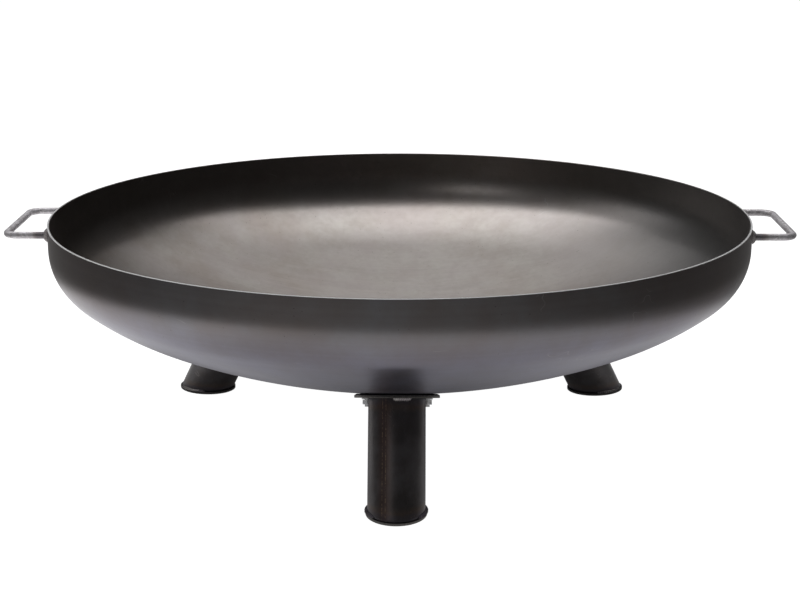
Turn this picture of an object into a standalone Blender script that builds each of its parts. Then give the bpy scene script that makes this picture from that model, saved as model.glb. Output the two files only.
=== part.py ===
import math

import bpy
import numpy as np
from mathutils import Vector
from mathutils.geometry import tessellate_polygon

# Driving dimensions, metres and degrees.
BOWL_RADIUS = 0.400
RIM_HEIGHT = 0.258
WALL = 0.003
SKIRT = 0.0269  # the upright band under the rim
RIM_CHAMFER = 0.00036

# A dished end is pressed to a fixed shape: its arcs are stated as shares of its own radius.
CROWN_FACTOR = 1.875
SHOULDER_FACTOR = 0.729
KNUCKLE_FACTOR = 0.1585
CROWN_HALF_ANGLE = 24.9

FOOT_CIRCLE = 0.2848  # from the bowl's axis to the middle of each foot
LEG_LEAN = 28.8
LEGS = {"front": -90.0, "right": 30.0, "left": 150.0}
TUBE_RADIUS = 0.03015
TUBE_WALL = 0.0029
TOP_PLATE_THICKNESS = 0.003
TOP_PLATE_MARGIN = 0.0148
FOOT_PLATE_THICKNESS = 0.003
FOOT_PLATE_MARGIN = 0.0018

BAR_RADIUS = 0.004
HANDLE_WIDTH = 0.135
HANDLE_REACH = 0.0425
HANDLE_DROP = 0.014
HANDLE_BEND = 0.014

STUD_RADIUS = 0.003
STUD_CHAMFER = 0.0006
STUD_PROTRUSION = 0.0025
STUD_OFFSET = 0.0064  # from the outside of the tube
STUD_ANGLE = 120.0
WASHER_RADIUS = 0.006
WASHER_THICKNESS = 0.0016
NUT_FLATS = 0.010
NUT_HEIGHT = 0.005
NUT_FACE_SHARE = 0.95  # the round face, as a share of the width across flats
NUT_CHAMFER_ANGLE = 30.0

COLLAR_LEG = 0.0042
TOP_WELD_LEG = 0.0034
TOP_WELD_PLACE = -11.0  # a little to the right, seen from outside
TOP_WELD_HALF = 18.0
FOOT_WELD_LEG = 0.0030
FOOT_WELD_PLACE = 82.0
FOOT_WELD_HALF = 34.0

MATE_GAP = 0.0003  # between pieces that touch

BOWL_SEGMENTS = 96
CROWN_STEPS = 6
SHOULDER_STEPS = 3
KNUCKLE_STEPS = 6
TUBE_SIDES = 48
PLATE_SIDES = 64
BAR_SIDES = 16
BEND_STEPS = 6
COLLAR_STEPS = 20
STITCH_STEPS = 10
STUD_SIDES = 20
HOLE_SIDES = 16
NUT_SIDES = 24

knuckle_radius = KNUCKLE_FACTOR * BOWL_RADIUS
shoulder_radius = SHOULDER_FACTOR * BOWL_RADIUS
crown_radius = CROWN_FACTOR * BOWL_RADIUS
crown_half_angle = math.radians(CROWN_HALF_ANGLE)
lean = math.radians(LEG_LEAN)

for old in list(bpy.data.objects):
    bpy.data.objects.remove(old, do_unlink=True)


def make_material(name, colour, metallic, roughness):
    made = bpy.data.materials.new(name)
    made.use_nodes = True
    shader = made.node_tree.nodes["Principled BSDF"]
    shader.inputs["Base Color"].default_value = (*colour, 1.0)
    shader.inputs["Metallic"].default_value = metallic
    shader.inputs["Roughness"].default_value = roughness
    return made


bowl_steel = make_material("bowl_steel", (0.20, 0.19, 0.18), 0.9, 0.45)
bar_steel = make_material("bar_steel", (0.34, 0.33, 0.33), 0.9, 0.40)
tube_steel = make_material("tube_steel", (0.07, 0.06, 0.06), 0.8, 0.45)
plate_steel = make_material("plate_steel", (0.15, 0.14, 0.14), 0.9, 0.45)
weld_steel = make_material("weld_steel", (0.25, 0.23, 0.22), 0.9, 0.50)
zinc = make_material("zinc", (0.60, 0.61, 0.62), 0.95, 0.30)


def add_solid(name, points, faces, material, smooth=True):
    """Adds one closed mesh, with every face turned outwards."""
    mesh = bpy.data.meshes.new(name)
    mesh.from_pydata([tuple(p) for p in points], [], faces)
    mesh.validate()
    mesh.update()
    mesh.calc_loop_triangles()
    volume = 0.0
    for triangle in mesh.loop_triangles:
        a, b, c = (mesh.vertices[i].co for i in triangle.vertices)
        volume += a.dot(b.cross(c))
    if volume < 0:
        mesh.flip_normals()
    if smooth:
        for polygon in mesh.polygons:
            polygon.use_smooth = True
        mesh.set_sharp_from_angle(angle=math.radians(35))
    mesh.materials.append(material)
    solid = bpy.data.objects.new(name, mesh)
    bpy.context.scene.collection.objects.link(solid)
    return solid


def ring_faces(rings, count, close_rings=False, first=0):
    """Quads between consecutive rings of count points each."""
    faces = []
    for k in range(rings if close_rings else rings - 1):
        low, high = first + k * count, first + ((k + 1) % rings) * count
        for i in range(count):
            j = (i + 1) % count
            faces.append((low + i, low + j, high + j, high + i))
    return faces


def capped_rings(rings):
    """Points and faces of a body swept through rings, with a fan over each end."""
    count = len(rings[0])
    points = [p for ring in rings for p in ring]
    faces = ring_faces(len(rings), count)
    for start in (0, (len(rings) - 1) * count):
        hub = len(points)
        points.append(sum((Vector(p) for p in points[start : start + count]), Vector()) / count)
        for i in range(count):
            a, b = start + i, start + (i + 1) % count
            faces.append((a, hub, b) if start == 0 else (b, hub, a))
    return points, faces


def add_ring_solid(name, rings, material):
    """Adds a body whose last ring joins back to its first, such as a tube or a washer."""
    points = [p for ring in rings for p in ring]
    return add_solid(name, points, ring_faces(len(rings), len(rings[0]), True), material)


def frame_about(axis, towards):
    """Two unit vectors square to the axis, the first one leaning towards the given direction."""
    first = (towards - axis * towards.dot(axis)).normalized()
    return first, axis.cross(first).normalized()


# Bowl: outer profile from the centre out and up, then the inner one back at one wall inside it.
def bowl_profile(offset):
    """(radius, height below the crown centre) of the arcs, moved inwards by offset."""
    crown, shoulder = crown_radius - offset, shoulder_radius - offset
    knuckle = knuckle_radius - offset
    reach = BOWL_RADIUS - knuckle_radius - (crown_radius - shoulder_radius) * math.sin(crown_half_angle)
    shoulder_end = math.asin(reach / (shoulder_radius - knuckle_radius))
    crown_z = crown_radius
    shoulder_x = (crown_radius - shoulder_radius) * math.sin(crown_half_angle)
    shoulder_z = crown_z - (crown_radius - shoulder_radius) * math.cos(crown_half_angle)
    knuckle_x = shoulder_x + (shoulder_radius - knuckle_radius) * math.sin(shoulder_end)
    knuckle_z = shoulder_z - (shoulder_radius - knuckle_radius) * math.cos(shoulder_end)
    profile = []
    arcs = (
        (0.0, crown_z, crown, 0.0, crown_half_angle, CROWN_STEPS),
        (shoulder_x, shoulder_z, shoulder, crown_half_angle, shoulder_end, SHOULDER_STEPS),
        (knuckle_x, knuckle_z, knuckle, shoulder_end, math.pi / 2, KNUCKLE_STEPS),
    )
    for x, z, radius, start, end, steps in arcs:
        for k in range(0 if not profile else 1, steps + 1):
            angle = start + (end - start) * k / steps
            profile.append((x + radius * math.sin(angle), z - radius * math.cos(angle)))
    return profile


outer_profile = bowl_profile(0.0)
bowl_bottom = RIM_HEIGHT - SKIRT - outer_profile[-1][1]
profile = [(r, z + bowl_bottom) for r, z in outer_profile]
profile += [(BOWL_RADIUS, RIM_HEIGHT - RIM_CHAMFER), (BOWL_RADIUS - RIM_CHAMFER, RIM_HEIGHT)]
profile += [(BOWL_RADIUS - WALL + RIM_CHAMFER, RIM_HEIGHT)]
profile += [(BOWL_RADIUS - WALL, RIM_HEIGHT - RIM_CHAMFER)]
profile += [(r, z + bowl_bottom) for r, z in reversed(bowl_profile(WALL))]

turns = [2 * math.pi * k / BOWL_SEGMENTS for k in range(BOWL_SEGMENTS)]
rings = [[Vector((r * math.cos(t), r * math.sin(t), z)) for t in turns] for r, z in profile[1:-1]]
points = [p for ring in rings for p in ring]
faces = ring_faces(len(rings), BOWL_SEGMENTS)
last = (len(rings) - 1) * BOWL_SEGMENTS
for start, (r, z), turned in ((0, profile[0], False), (last, profile[-1], True)):
    hub = len(points)
    points.append(Vector((0.0, 0.0, z)))
    for i in range(BOWL_SEGMENTS):
        a, b = start + i, start + (i + 1) % BOWL_SEGMENTS
        faces.append((a, hub, b) if not turned else (b, hub, a))
add_solid("bowl", points, faces, bowl_steel)

# Handles: a bar out of the wall, a bend, across, and back in, lying level below the rim.
handle_z = RIM_HEIGHT - HANDLE_DROP


def wall_x(y, clearance):
    """How far out the skirt lies at this y, plus a clearance square to it."""
    return math.sqrt((BOWL_RADIUS + clearance) ** 2 - y * y)


def handle_rings(side):
    half = HANDLE_WIDTH / 2
    far = BOWL_RADIUS + HANDLE_REACH
    path = []
    for k in range(BEND_STEPS + 1):
        angle = math.pi / 2 * k / BEND_STEPS
        x = far - HANDLE_BEND + HANDLE_BEND * math.sin(angle)
        y = half - HANDLE_BEND + HANDLE_BEND * math.cos(angle)
        path.append((x, y, angle))
    path += [(x, -y, math.pi - angle) for x, y, angle in reversed(path)]
    sides = [2 * math.pi * k / BAR_SIDES for k in range(BAR_SIDES)]
    rings = []
    for end in (half, None, -half):
        if end is None:
            for x, y, angle in path:
                # The ring's own outward direction in the level plane turns with the bend.
                out = Vector((math.sin(angle), math.cos(angle), 0.0))
                rings.append(
                    [
                        Vector((x, y, handle_z))
                        + out * BAR_RADIUS * math.cos(s)
                        + Vector((0, 0, BAR_RADIUS * math.sin(s)))
                        for s in sides
                    ]
                )
            continue
        sign = 1.0 if end > 0 else -1.0
        ring = []
        for s in sides:
            y = end + sign * BAR_RADIUS * math.cos(s)
            ring.append(Vector((wall_x(y, MATE_GAP), y, handle_z + BAR_RADIUS * math.sin(s))))
        rings.append(ring)
    return [[Vector((side * p.x, side * p.y, p.z)) for p in ring] for ring in rings]


def weld_collar(side, y_end):
    """A ring of weld round one bar end, following the curve of the wall."""
    rings = []
    for k in range(COLLAR_STEPS):
        turn = 2 * math.pi * k / COLLAR_STEPS
        leg = COLLAR_LEG * (1.0 + 0.1 * math.sin(3 * turn + 1.0))
        section = (
            (BAR_RADIUS + MATE_GAP, MATE_GAP),
            (BAR_RADIUS + leg, MATE_GAP),
            (BAR_RADIUS + 0.62 * leg, 0.55 * leg),
            (BAR_RADIUS + MATE_GAP, leg),
        )
        ring = []
        for out, along in section:
            y = y_end + out * math.cos(turn)
            z = handle_z + out * math.sin(turn)
            ring.append(Vector((side * (wall_x(y, MATE_GAP) + along - MATE_GAP), side * y, z)))
        rings.append(ring)
    return rings


for label, side in (("left", -1.0), ("right", 1.0)):
    add_solid(f"handle_{label}", *capped_rings(handle_rings(side)), bar_steel)
    for y_end in (HANDLE_WIDTH / 2, -HANDLE_WIDTH / 2):
        place = "back" if side * y_end > 0 else "front"
        add_ring_solid(f"handle_weld_{label}_{place}", weld_collar(side, y_end), weld_steel)


# Legs.
def sag(offset):
    """How far the crown falls away from its tangent plane at this distance."""
    return crown_radius - math.sqrt(crown_radius**2 - offset**2)


def cut(point, axis, origin, normal):
    """Where the line through point along axis meets the plane."""
    return point + axis * ((origin - point).dot(normal) / axis.dot(normal))


def add_plate(name, origin, normal, towards, outline, holes, thickness, material):
    """A flat plate with its near face through origin and its body behind it, along the normal."""
    across, along = frame_about(normal, towards)
    loops = [outline] + holes
    flat = [Vector((x, y, 0.0)) for loop in loops for x, y in loop]
    near = [origin + across * p.x + along * p.y for p in flat]
    points = near + [p + normal * thickness for p in near]
    total = len(flat)
    faces = []
    for a, b, c in tessellate_polygon([[Vector((x, y, 0)) for x, y in loop] for loop in loops]):
        turned = (flat[b] - flat[a]).cross(flat[c] - flat[a]).z
        a, b, c = (a, b, c) if turned < 0 else (a, c, b)
        faces += [(a, b, c), (a + total, c + total, b + total)]
    start = 0
    for number, loop in enumerate(loops):
        for i in range(len(loop)):
            a, b = start + i, start + (i + 1) % len(loop)
            face = (a, b, b + total, a + total)
            faces.append(face if number == 0 else face[::-1])
        start += len(loop)
    return add_solid(name, points, faces, material)


def circle(radius, sides, x=0.0, y=0.0, squash=1.0):
    """Points round a circle, or an oval whose x half-axis is squash times the radius."""
    turns = [2 * math.pi * k / sides for k in range(sides)]
    return [(x + radius * squash * math.cos(t), y + radius * math.sin(t)) for t in turns]


def stitch(name, centre, axis, normal, towards, middle, half_angle, leg, phase):
    """A weld bead in the corner between the tube and the plate whose face passes through centre."""
    across, along = frame_about(axis, towards)
    rings = []
    for k in range(STITCH_STEPS + 1):
        place = 2.0 * k / STITCH_STEPS - 1.0
        turn = math.radians(middle + half_angle * place)
        outward = across * math.cos(turn) + along * math.sin(turn)
        base = cut(centre + outward * TUBE_RADIUS, axis, centre, normal)
        flat_out = (outward - normal * outward.dot(normal)).normalized()
        size = leg * (0.35 + 0.65 * math.sqrt(max(0.0, 1.0 - place**4)))
        size *= 1.0 + 0.12 * math.sin(2.3 * k + phase)
        corner = base + flat_out * MATE_GAP + axis * MATE_GAP / axis.dot(normal)
        rings.append(
            [
                corner,
                corner + flat_out * (size - MATE_GAP),
                corner + flat_out * 0.66 * size + axis * 0.62 * size,
                corner + axis * (size - MATE_GAP),
            ]
        )
    return add_solid(name, *capped_rings(rings), weld_steel)


def stacked(origin, axis, towards, profile, sides, radius_at=None):
    """Rings about an axis, from (radius, distance along it)."""
    across, along = frame_about(axis, towards)
    rings = []
    for radius, distance in profile:
        ring = []
        for k in range(sides):
            turn = 2 * math.pi * k / sides
            r, d = (radius, distance) if radius_at is None else radius_at(radius, distance, turn)
            ring.append(origin + axis * d + (across * math.cos(turn) + along * math.sin(turn)) * r)
        rings.append(ring)
    return rings


def nut_corner(radius, distance, turn):
    """Turns a plain ring into a hexagon where its radius is asked for as zero."""
    if radius > 0:
        return radius, distance
    flat = (turn % (math.pi / 3)) - math.pi / 6
    reach = NUT_FLATS / 2 / math.cos(flat)
    drop = (reach - nut_face_radius) * math.tan(math.radians(NUT_CHAMFER_ANGLE))
    return reach, distance + (drop if distance < NUT_HEIGHT / 2 else -drop)


crown_centre = Vector((0.0, 0.0, bowl_bottom + crown_radius))
up = Vector((0.0, 0.0, 1.0))
bore = STUD_RADIUS + MATE_GAP
stud_circle = TUBE_RADIUS + STUD_OFFSET
nut_face_radius = NUT_FACE_SHARE * NUT_FLATS / 2
washer_at = TOP_PLATE_THICKNESS + MATE_GAP
nut_at = washer_at + WASHER_THICKNESS + MATE_GAP
stud_end = nut_at + NUT_HEIGHT + STUD_PROTRUSION


def stud_places():
    """(tag, x, y) of each stud in the plane of the top plate, x pointing away from the bowl's axis."""
    places = []
    for sign, tag in ((1, "a"), (-1, "b")):
        angle = math.radians(sign * STUD_ANGLE)
        places.append((tag, stud_circle * math.cos(angle), stud_circle * math.sin(angle)))
    return places


def crown_crossing(foot, down_leg):
    """Where a leg's axis meets the outside of the crown, and the crown's outward direction there."""
    back = foot - crown_centre
    half_b = -back.dot(down_leg)
    reach = -half_b - math.sqrt(half_b**2 - (back.length_squared - crown_radius**2))
    touch = foot - down_leg * reach
    return touch, (touch - crown_centre).normalized()


def add_top_plate(label, plate_top, normal, outwards):
    add_plate(
        f"top_plate_{label}",
        plate_top,
        normal,
        outwards,
        circle(TUBE_RADIUS + TOP_PLATE_MARGIN, PLATE_SIDES),
        [circle(bore, HOLE_SIDES, x, y) for _, x, y in stud_places()],
        TOP_PLATE_THICKNESS,
        plate_steel,
    )


def add_foot_plate(label, outwards):
    """An oval that follows the slanted cut of the tube."""
    radial = TUBE_RADIUS / math.cos(lean) + FOOT_PLATE_MARGIN
    tangential = TUBE_RADIUS + FOOT_PLATE_MARGIN
    add_plate(
        f"foot_plate_{label}",
        outwards * FOOT_CIRCLE,
        up,
        outwards,
        circle(tangential, PLATE_SIDES, squash=radial / tangential),
        [],
        FOOT_PLATE_THICKNESS,
        plate_steel,
    )


def add_tube(label, foot, down_leg, outwards, upper, normal):
    """The tube, cut parallel to the top plate at one end and to the ground at the other."""
    lower = foot + up * MATE_GAP
    first, second = frame_about(down_leg, outwards)
    rings = []
    for radius, plane, square in (
        (TUBE_RADIUS, upper, normal),
        (TUBE_RADIUS, lower, up),
        (TUBE_RADIUS - TUBE_WALL, lower, up),
        (TUBE_RADIUS - TUBE_WALL, upper, normal),
    ):
        ring = []
        for k in range(TUBE_SIDES):
            turn = 2 * math.pi * k / TUBE_SIDES
            side = foot + (first * math.cos(turn) + second * math.sin(turn)) * radius
            ring.append(cut(side, down_leg, plane, square))
        rings.append(ring)
    add_ring_solid(f"leg_tube_{label}", rings, tube_steel)


def add_stitches(label, foot, down_leg, outwards, plate_under, normal):
    """Two stitches under the top plate, and one on each side of the foot."""
    top_centre = cut(foot, down_leg, plate_under, normal)
    for name, place, phase in (("outer", TOP_WELD_PLACE, 0.4), ("inner", 180.0, 1.9)):
        bead = (place, TOP_WELD_HALF, TOP_WELD_LEG, phase)
        stitch(f"top_weld_{label}_{name}", top_centre, down_leg, normal, outwards, *bead)
    for name, place, phase in (("a", FOOT_WELD_PLACE, 0.9), ("b", -FOOT_WELD_PLACE, 2.6)):
        bead = (place, FOOT_WELD_HALF, FOOT_WELD_LEG, phase)
        stitch(f"foot_weld_{label}_{name}", foot, -down_leg, up, outwards, *bead)


def add_fasteners(label, plate_top, normal, outwards):
    """Studs that hang from the bowl, each with a washer and a nut that hold the plate up."""
    across, along = frame_about(normal, outwards)
    for tag, x, y in stud_places():
        to_stud = across * x + along * y
        seat = plate_top + to_stud
        profile = [
            (STUD_RADIUS, -sag(stud_circle - STUD_RADIUS)),
            (STUD_RADIUS, stud_end - STUD_CHAMFER),
            (STUD_RADIUS - STUD_CHAMFER, stud_end),
        ]
        rings = stacked(seat, normal, outwards, profile, STUD_SIDES)
        add_solid(f"stud_{label}_{tag}", *capped_rings(rings), zinc)

        profile = [
            (bore, washer_at),
            (WASHER_RADIUS, washer_at),
            (WASHER_RADIUS, washer_at + WASHER_THICKNESS),
            (bore, washer_at + WASHER_THICKNESS),
        ]
        rings = stacked(seat, normal, outwards, profile, NUT_SIDES)
        add_ring_solid(f"washer_{label}_{tag}", rings, zinc)

        profile = [
            (bore, 0.0),
            (nut_face_radius, 0.0),
            (0.0, 0.0),
            (0.0, NUT_HEIGHT),
            (nut_face_radius, NUT_HEIGHT),
            (bore, NUT_HEIGHT),
        ]
        # A flat of the nut faces the tube.
        rings = stacked(seat + normal * nut_at, normal, to_stud, profile, NUT_SIDES, nut_corner)
        add_ring_solid(f"nut_{label}_{tag}", rings, zinc)


for label, azimuth in LEGS.items():
    turn = math.radians(azimuth)
    outwards = Vector((math.cos(turn), math.sin(turn), 0.0))
    down_leg = outwards * math.sin(lean) - up * math.cos(lean)
    foot = outwards * FOOT_CIRCLE + up * FOOT_PLATE_THICKNESS
    touch, normal = crown_crossing(foot, down_leg)
    plate_top = touch + normal * MATE_GAP
    plate_under = plate_top + normal * TOP_PLATE_THICKNESS

    add_top_plate(label, plate_top, normal, outwards)
    add_tube(label, foot, down_leg, outwards, plate_under + normal * MATE_GAP, normal)
    add_foot_plate(label, outwards)
    add_stitches(label, foot, down_leg, outwards, plate_under, normal)
    add_fasteners(label, plate_top, normal, outwards)
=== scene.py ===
import math

import bmesh
import bpy
import numpy as np
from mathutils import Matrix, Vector


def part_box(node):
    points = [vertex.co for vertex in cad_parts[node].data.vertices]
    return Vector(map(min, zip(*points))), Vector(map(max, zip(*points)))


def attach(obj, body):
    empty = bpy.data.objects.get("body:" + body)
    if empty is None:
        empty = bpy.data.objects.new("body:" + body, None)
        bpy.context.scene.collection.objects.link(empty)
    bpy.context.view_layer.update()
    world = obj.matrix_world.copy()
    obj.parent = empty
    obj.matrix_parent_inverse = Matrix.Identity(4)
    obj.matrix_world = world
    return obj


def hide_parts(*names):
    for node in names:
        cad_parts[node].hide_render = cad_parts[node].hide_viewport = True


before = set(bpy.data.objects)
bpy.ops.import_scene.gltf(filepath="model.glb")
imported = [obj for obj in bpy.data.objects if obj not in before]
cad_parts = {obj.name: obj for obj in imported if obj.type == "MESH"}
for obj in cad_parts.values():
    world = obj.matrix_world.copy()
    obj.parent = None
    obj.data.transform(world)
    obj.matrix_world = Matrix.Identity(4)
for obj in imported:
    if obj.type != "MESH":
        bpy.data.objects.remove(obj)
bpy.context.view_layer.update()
scene = bpy.context.scene
tau = 2 * math.pi
up = np.array([0.0, 0.0, 1.0])
mateGap = 0.0003  # between pieces that touch
print("frame loaded:", len(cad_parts), "nodes")


# ---- numbers and vectors ----
def unit(v):  # v over its own length
    v = np.asarray(v, float)
    return v / np.linalg.norm(v, axis=-1, keepdims=True)


def lerp(a, b, t):  # a where t is 0, b where t is 1
    return a + (b - a) * t


def smooth(low, high, x):  # t = (x - low) / (high - low) held to 0..1, then 3t^2 - 2t^3
    t = np.clip((x - low) / (high - low), 0.0, 1.0)
    return t * t * (3 - 2 * t)


def arc(cx, cz, radius, start, end, steps):  # (cx + r sin a, cz - r cos a), a from start to end
    a = np.linspace(start, end, steps)
    return np.stack([cx + radius * np.sin(a), cz - radius * np.cos(a)], axis=1)


# hash(a, b) = fraction of sin(12.9898 a + 78.233 b) * 43758.5453, the same on every run
def roll(a, b=0.0):
    return np.mod(np.sin(12.9898 * np.asarray(a, float) + 78.233 * b) * 43758.5453, 1.0)


# Sum of a few sines with mixed rates and phases, between -1 and 1: a slow uneven wander
def wander(x, seed):
    rates = (1.0, 2.3, 3.7, 5.9)
    parts = [np.sin(rate * x + tau * float(roll(seed, rate))) / (k + 1) for k, rate in enumerate(rates)]
    return sum(parts) / 2.1


# ---- meshes ----
# Quads between neighbours of a grid of points, rows x columns. A row of equal points is a pole.
def gridMesh(name, points, wrapRows=False, attributes=None, sharp=40):
    rows, columns = points.shape[:2]
    index = np.arange(rows * columns).reshape(rows, columns)
    right = np.roll(index, -1, axis=1)
    below = np.roll(index, -1, axis=0)
    quads = np.stack([index, right, np.roll(below, -1, axis=1), below], axis=-1)
    quads = quads if wrapRows else quads[:-1]
    u, v = np.meshgrid(np.arange(columns), np.arange(len(quads)))
    uv = np.stack([np.stack([u + a, v + b], -1) for a, b in ((0, 0), (1, 0), (1, 1), (0, 1))], -2)
    uv = uv.reshape(-1, 2) / np.array([columns, len(quads)], float)
    quads = quads.reshape(-1, 4)

    mesh = bpy.data.meshes.new(name)
    mesh.vertices.add(rows * columns)
    mesh.vertices.foreach_set("co", points.astype(np.float32).ravel())
    mesh.loops.add(quads.size)
    mesh.loops.foreach_set("vertex_index", quads.astype(np.int32).ravel())
    mesh.polygons.add(len(quads))
    mesh.polygons.foreach_set("loop_start", np.arange(0, quads.size, 4, dtype=np.int32))
    mesh.polygons.foreach_set("use_smooth", np.ones(len(quads), bool))
    mesh.update(calc_edges=True)
    mesh.uv_layers.new(name="surface").data.foreach_set("uv", uv.astype(np.float32).ravel())
    for key, values in (attributes or {}).items():
        values = np.broadcast_to(np.asarray(values, np.float32), (rows, columns))
        mesh.attributes.new(key, "FLOAT", "POINT").data.foreach_set("value", values.ravel())
    closePoles(mesh)
    mesh.set_sharp_from_angle(angle=math.radians(sharp))
    return mesh


# Merges the points of a pole, then turns the faces out if sum of det(a, b, c) over them is below 0
def closePoles(mesh):
    work = bmesh.new()
    work.from_mesh(mesh)
    bmesh.ops.remove_doubles(work, verts=work.verts, dist=1e-7)
    work.to_mesh(mesh)
    work.free()
    mesh.calc_loop_triangles()
    corner = np.empty(len(mesh.loop_triangles) * 3, np.int32)
    mesh.loop_triangles.foreach_get("vertices", corner)
    place = np.empty(len(mesh.vertices) * 3, np.float32)
    mesh.vertices.foreach_get("co", place)
    if np.linalg.det(place.reshape(-1, 3)[corner].reshape(-1, 3, 3).astype(float)).sum() < 0:
        mesh.flip_normals()


def addPiece(name, mesh, material, slot, *nodes):
    piece = bpy.data.objects.new(name, mesh)
    scene.collection.objects.link(piece)
    mesh.materials.clear()
    mesh.materials.append(material)
    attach(piece, "root")
    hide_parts(*nodes)


# Two unit directions square to the axis: the part of towards that is square to it, and axis x that
def sides(axis, towards):
    first = unit(towards - axis * np.dot(towards, axis))
    return first, np.cross(axis, first)


# origin + axis d + (first cos t + second sin t) r, for each (r, d) of the section and each turn t
def turned(origin, axis, towards, section, count, shape=None):
    first, second = sides(axis, towards)
    t = np.arange(count) * tau / count
    ring = np.cos(t)[:, None] * first + np.sin(t)[:, None] * second
    r = np.repeat(section[:, :1], count, axis=1)
    d = np.repeat(section[:, 1:], count, axis=1)
    if shape is not None:
        r, d = shape(r, d, t[None, :])
    return origin + d[..., None] * axis + r[..., None] * ring


# ---- shader nodes ----
def node(tree, kind, inputs=None, **settings):
    made = tree.nodes.new("ShaderNode" + kind)
    for key, value in settings.items():
        setattr(made, key, value)
    for key, value in (inputs or {}).items():
        if isinstance(value, bpy.types.NodeSocket):
            tree.links.new(value, made.inputs[key])
        else:
            made.inputs[key].default_value = value
    return made.outputs


def calc(tree, operation, a, b=0.0, clamp=False):
    return node(tree, "Math", {0: a, 1: b}, operation=operation, use_clamp=clamp)[0]


def ease(tree, value, low, high, fromValue=0.0, toValue=1.0):  # smoothstep from low to high
    ends = {"Value": value, "From Min": low, "From Max": high, "To Min": fromValue, "To Max": toValue}
    return node(tree, "MapRange", ends, interpolation_type="SMOOTHSTEP")[0]


def mixColor(tree, mask, a, b):
    return node(tree, "Mix", {0: mask, 6: a, 7: b}, data_type="RGBA")[2]


def layer(tree, color, mask, amount, top):  # top over color, by the mask times amount
    return mixColor(tree, calc(tree, "MULTIPLY", mask, amount), color, top)


def plus(tree, a, b, amount):  # a + b * amount
    return calc(tree, "ADD", a, calc(tree, "MULTIPLY", b, amount))


def mixValue(tree, mask, a, b):
    return node(tree, "Mix", {0: mask, 2: a, 3: b}, data_type="FLOAT")[0]


def stretch(tree, vector, x, y, z):  # the vector with each part scaled on its own
    return node(tree, "VectorMath", {0: vector, 1: (x, y, z)}, operation="MULTIPLY")[0]


def noise(tree, vector, scale, detail=3.0, roughness=0.55):
    inputs = {"Vector": vector, "Scale": scale, "Detail": detail, "Roughness": roughness}
    return node(tree, "TexNoise", inputs)[0]


def greyOf(tree, value):
    return node(tree, "CombineColor", {0: value, 1: value, 2: value})[0]


def attribute(tree, name):
    return node(tree, "Attribute", attribute_name=name)["Fac"]


# A group whose sockets are (name, kind, start value), filled in by build(tree, inputs, outputs)
def shaderGroup(name, inputs, outputs, build):
    tree = bpy.data.node_groups.new(name, "ShaderNodeTree")
    for key, kind, start in inputs:
        socket = tree.interface.new_socket(name=key, in_out="INPUT", socket_type="NodeSocket" + kind)
        if start is not None:
            socket.default_value = start
    for key, kind in outputs:
        tree.interface.new_socket(name=key, in_out="OUTPUT", socket_type="NodeSocket" + kind)
    groupIn = tree.nodes.new("NodeGroupInput")
    groupOut = tree.nodes.new("NodeGroupOutput")
    for key, value in build(tree, groupIn.outputs).items():
        tree.links.new(value, groupOut.inputs[key])
    return tree


def useGroup(tree, group, place, **inputs):
    return node(tree, "Group", {"Vector": place, **inputs}, node_tree=group)


# Cloudy patches: one slow noise and one faster, averaged 2 to 1 and steepened about the middle
def buildPatches(tree, given):
    slow = noise(tree, given["Vector"], given["Scale"], 2.0)
    quick = noise(tree, given["Vector"], calc(tree, "MULTIPLY", given["Scale"], 4.3), 4.0)
    both = calc(tree, "ADD", calc(tree, "MULTIPLY", slow, 0.67), calc(tree, "MULTIPLY", quick, 0.33))
    low = calc(tree, "SUBTRACT", 0.5, given["Softness"])
    high = calc(tree, "ADD", 0.5, given["Softness"])
    return {"Mask": ease(tree, both, low, high), "Fine": quick}


patches = shaderGroup(
    "scalePatches",
    [("Vector", "Vector", None), ("Scale", "Float", 8.0), ("Softness", "Float", 0.15)],
    [("Mask", "Float"), ("Fine", "Float")],
    buildPatches,
)


# Lines left by the mill's rolls: noise drawn out some thirtyfold along x
def buildRollLines(tree, given):
    long = stretch(tree, given["Vector"], 0.03, 1.0, 0.0)
    coarse = noise(tree, long, given["Scale"], 3.0, 0.6)
    fine = noise(tree, long, calc(tree, "MULTIPLY", given["Scale"], 5.0), 2.0, 0.5)
    return {"Mask": mixValue(tree, 0.45, coarse, fine)}


rollLines = shaderGroup(
    "rollLines",
    [("Vector", "Vector", None), ("Scale", "Float", 60.0)],
    [("Mask", "Float")],
    buildRollLines,
)


# Specks: inside a cell's own radius, in the share of the cells whose random colour is low
def buildSpecks(tree, given):
    cells = node(tree, "TexVoronoi", {"Vector": given["Vector"], "Scale": given["Scale"]})
    chosen = node(tree, "SeparateColor", {0: cells["Color"]})
    radius = calc(tree, "ADD", calc(tree, "MULTIPLY", chosen[1], 0.22), 0.10)
    inside = calc(tree, "LESS_THAN", cells["Distance"], radius)
    picked = calc(tree, "LESS_THAN", chosen[0], given["Share"])
    return {"Mask": calc(tree, "MULTIPLY", inside, picked)}


specks = shaderGroup(
    "specks",
    [("Vector", "Vector", None), ("Scale", "Float", 120.0), ("Share", "Float", 0.05)],
    [("Mask", "Float")],
    buildSpecks,
)


# Scratches: where a drawn-out noise crosses its middle value, let through in patches
def buildScratches(tree, given):
    turn = node(tree, "CombineXYZ", {2: given["Turn"]})[0]
    laid = node(tree, "Mapping", {"Vector": given["Vector"], "Rotation": turn})[0]
    lines = noise(tree, stretch(tree, laid, 0.05, 1.0, 1.0), given["Scale"], 1.0, 0.5)
    off = calc(tree, "ABSOLUTE", calc(tree, "SUBTRACT", lines, 0.5))
    thin = ease(tree, off, 0.0, given["Width"], 1.0, 0.0)
    patch = noise(tree, given["Vector"], calc(tree, "MULTIPLY", given["Scale"], 0.35), 2.0)
    gate = ease(tree, patch, given["Gate"], calc(tree, "ADD", given["Gate"], 0.06))
    return {"Mask": calc(tree, "MULTIPLY", thin, gate)}


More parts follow.
